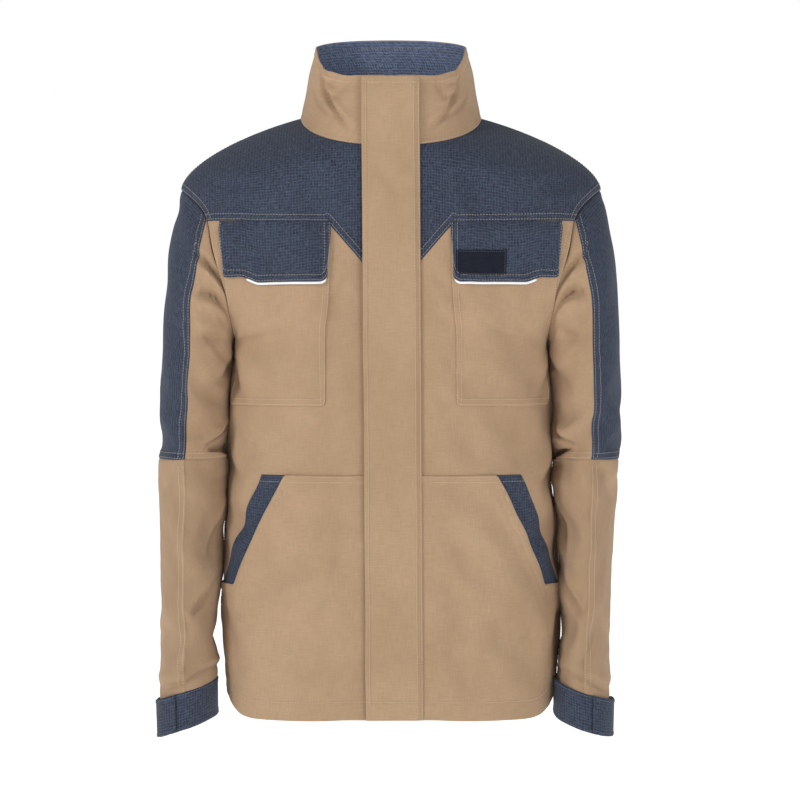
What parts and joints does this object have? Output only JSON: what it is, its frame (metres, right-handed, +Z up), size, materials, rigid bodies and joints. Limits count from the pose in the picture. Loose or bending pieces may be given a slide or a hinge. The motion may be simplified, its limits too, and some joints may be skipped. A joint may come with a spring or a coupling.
{
  "type": "leather welding jacket",
  "caption": "Two-tone stand-collar work jacket: hinged storm flap over a zip, lifting chest-pocket flaps, slanted hand pockets, bending sleeves and cuffs with tabs.",
  "frame": {"origin": "middle of the foot of the jacket's box, between the cuffs", "axes": "+Z up the body, -Y towards the front the wearer faces, +X towards the wearer's left"},
  "size_m": [0.5548, 0.2488, 0.8405],
  "materials": {
    "tan_canvas": "matt twill canvas",
    "navy_cloth": "matt slubbed ripstop",
    "reflective_piping": "silver reflective",
    "hook_and_loop": "matt pile",
    "label_cloth": "woven satin",
    "zip_metal": "dark antique"
  },
  "bodies": {
    "body": {"back_panel": "tan_canvas", "back_yoke": "navy_cloth", "collar": "tan_canvas", "collar_lining": "navy_cloth", "hanger_loop": "navy_cloth", "left_chest_pocket": "tan_canvas", "left_front_panel": "tan_canvas", "left_front_yoke": "navy_cloth", "left_lower_front": "tan_canvas", "left_pocket_facing": "navy_cloth", "left_pocket_loop": "hook_and_loop", "left_zip_tape": "navy_cloth", "left_zip_teeth": "zip_metal", "right_chest_pocket": "tan_canvas", "right_front_panel": "tan_canvas", "right_front_yoke": "navy_cloth", "right_lower_front": "tan_canvas", "right_pocket_facing": "navy_cloth", "right_pocket_loop": "hook_and_loop", "right_zip_tape": "navy_cloth", "right_zip_teeth": "zip_metal", "storm_flap_loop": "hook_and_loop", "zip_retainer_box": "zip_metal"},
    "left_sleeve": {"left_upper_sleeve": "navy_cloth", "left_under_sleeve": "tan_canvas"},
    "right_sleeve": {"right_upper_sleeve": "navy_cloth", "right_under_sleeve": "tan_canvas"},
    "left_forearm": {"left_lower_sleeve": "tan_canvas", "left_lower_under_sleeve": "tan_canvas", "left_cuff": "navy_cloth", "left_cuff_loop": "hook_and_loop"},
    "right_forearm": {"right_lower_sleeve": "tan_canvas", "right_lower_under_sleeve": "tan_canvas", "right_cuff": "navy_cloth", "right_cuff_loop": "hook_and_loop"},
    "left_tab": {"left_cuff_tab": "navy_cloth", "left_cuff_hook": "hook_and_loop"},
    "right_tab": {"right_cuff_tab": "navy_cloth", "right_cuff_hook": "hook_and_loop"},
    "storm_flap": {"storm_flap": "tan_canvas", "storm_flap_hook": "hook_and_loop"},
    "left_pocket_flap": {"left_chest_flap": "navy_cloth", "left_flap_piping": "reflective_piping", "left_flap_hook": "hook_and_loop", "chest_label": "label_cloth"},
    "right_pocket_flap": {"right_chest_flap": "navy_cloth", "right_flap_piping": "reflective_piping", "right_flap_hook": "hook_and_loop"},
    "slider": {"zip_slider": "zip_metal"},
    "pull": {"zip_pull": "zip_metal"}
  },
  "joints": [
    {"name": "left_sleeve_raise", "type": "hinge", "parent": "body", "child": "left_sleeve", "pos_m": [0.2515, 0.005, 0.65], "axis": [0, -1, 0], "range_deg": [0, 45]},
    {"name": "right_sleeve_raise", "type": "hinge", "parent": "body", "child": "right_sleeve", "pos_m": [-0.2515, 0.005, 0.65], "axis": [0, 1, 0], "range_deg": [0, 45]},
    {"name": "left_elbow_bend", "type": "hinge", "parent": "left_sleeve", "child": "left_forearm", "pos_m": [0.24, -0.0635, 0.33], "axis": [-1, 0, 0], "range_deg": [0, 60]},
    {"name": "right_elbow_bend", "type": "hinge", "parent": "right_sleeve", "child": "right_forearm", "pos_m": [-0.24, -0.0635, 0.33], "axis": [-1, 0, 0], "range_deg": [0, 60]},
    {"name": "left_cuff_tab_open", "type": "hinge", "parent": "left_forearm", "child": "left_tab", "pos_m": [0.24839, -0.0869, 0.035], "axis": [0, -0.0906, -0.9959], "range_deg": [0, 100]},
    {"name": "right_cuff_tab_open", "type": "hinge", "parent": "right_forearm", "child": "right_tab", "pos_m": [-0.24839, -0.0869, 0.035], "axis": [0, 0.0906, 0.9959], "range_deg": [0, 100]},
    {"name": "storm_flap_open", "type": "hinge", "parent": "body", "child": "storm_flap", "pos_m": [0.0375, -0.10384, 0.40552], "axis": [0, 0.0515, 0.9987], "range_deg": [0, 110]},
    {"name": "left_pocket_flap_lift", "type": "hinge", "parent": "body", "child": "left_pocket_flap", "pos_m": [0.1356, -0.09311, 0.6095], "axis": [-0.9937, -0.1118, 0], "range_deg": [0, 150]},
    {"name": "right_pocket_flap_lift", "type": "hinge", "parent": "body", "child": "right_pocket_flap", "pos_m": [-0.1356, -0.09311, 0.6095], "axis": [-0.9937, 0.1118, 0], "range_deg": [0, 150]},
    {"name": "zip_slide", "type": "slide", "parent": "body", "child": "slider", "axis": [0, -0.0515, -0.9987], "range_m": [0, 0.69]},
    {"name": "zip_pull_swing", "type": "hinge", "parent": "slider", "child": "pull", "pos_m": [0, -0.0839, 0.75141], "axis": [-1, 0, 0], "range_deg": [0, 94]}
  ],
  "couplings": [
    {"joint": "zip_pull_swing", "follows": "storm_flap_open", "ratio": 0.85}
  ]
}
